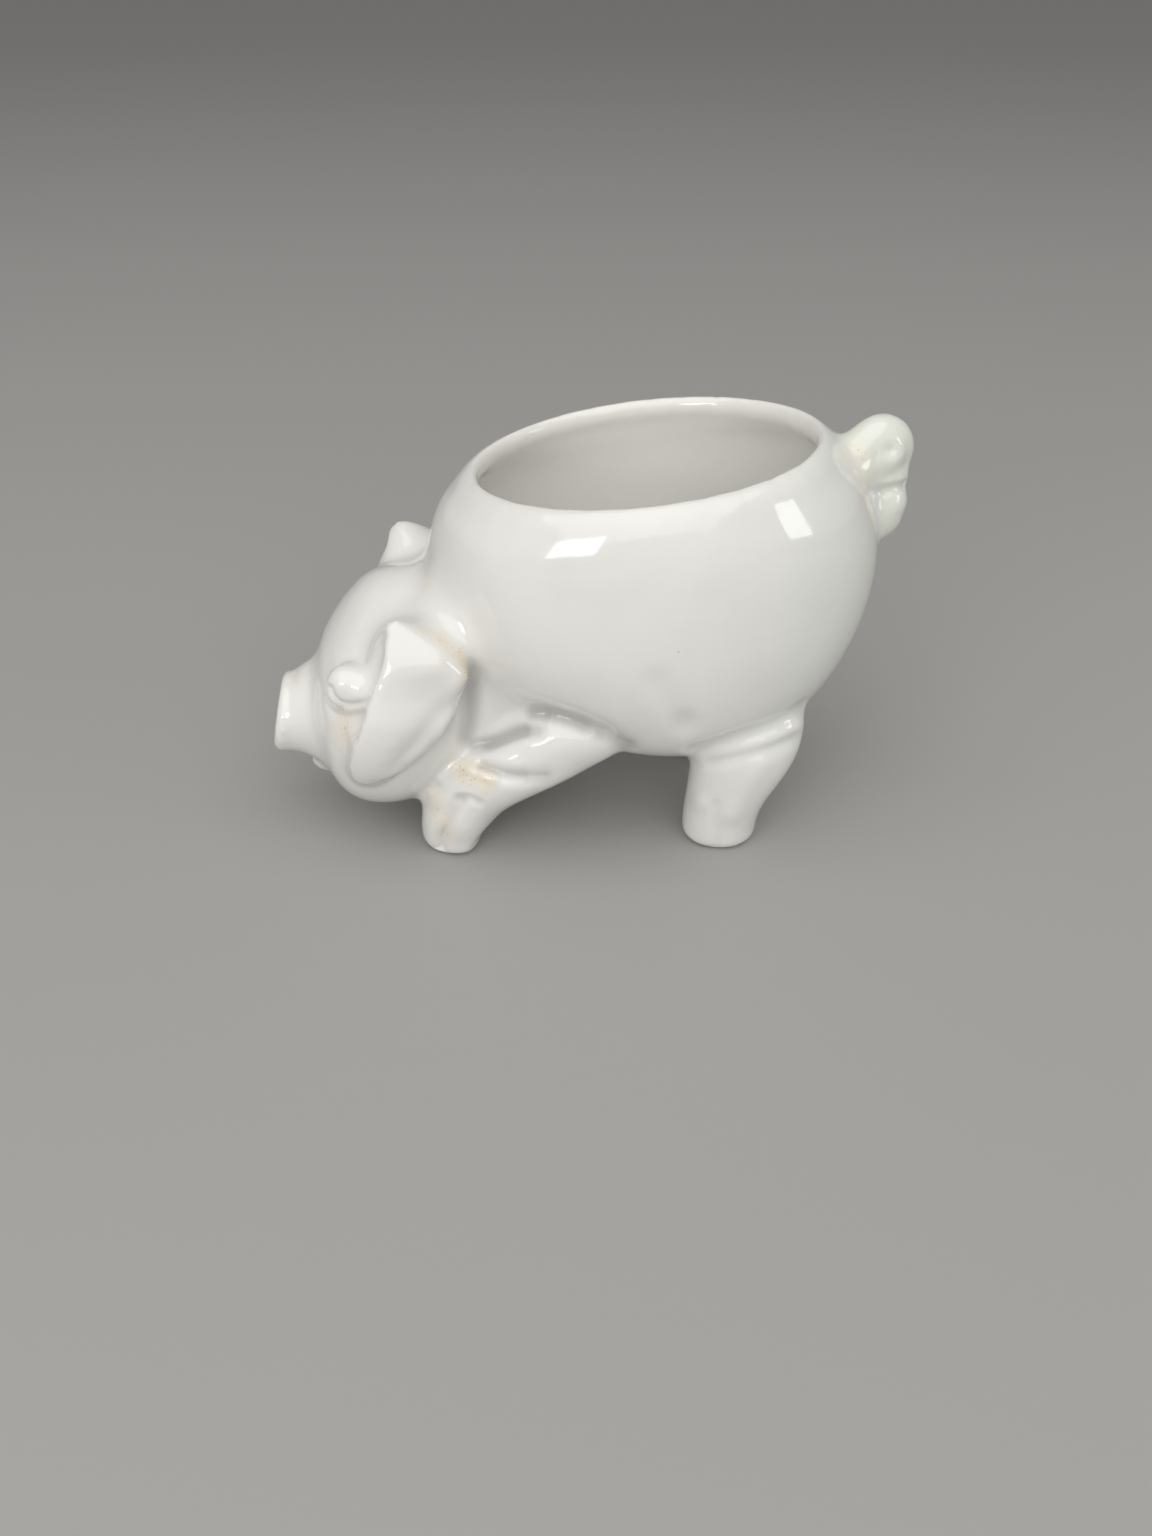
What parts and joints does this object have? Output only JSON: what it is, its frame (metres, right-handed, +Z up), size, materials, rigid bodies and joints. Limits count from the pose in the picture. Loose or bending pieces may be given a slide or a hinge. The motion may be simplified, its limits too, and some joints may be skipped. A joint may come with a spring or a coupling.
{
  "type": "pig shaped planter",
  "caption": "White glazed ceramic planter in the form of a standing pig with its head bowed, an open oval bowl in its back, floppy ears and a curly tail",
  "frame": {"origin": "centre of the footprint box, on the floor under the soles", "axes": "+X toward the tail, +Y toward the animal's right side, +Z up"},
  "size_m": [0.2684, 0.138, 0.1747],
  "materials": {
    "white_glaze": "gloss",
    "cream_glaze": "gloss"
  },
  "bodies": {
    "root": {"torso_bowl": "white_glaze", "head": "white_glaze", "snout": "white_glaze", "left_ear": "white_glaze", "right_ear": "white_glaze", "left_eye": "white_glaze", "right_eye": "white_glaze", "left_front_leg": "white_glaze", "right_front_leg": "white_glaze", "left_rear_leg": "white_glaze", "right_rear_leg": "white_glaze", "tail": "cream_glaze"}
  },
  "joints": []
}
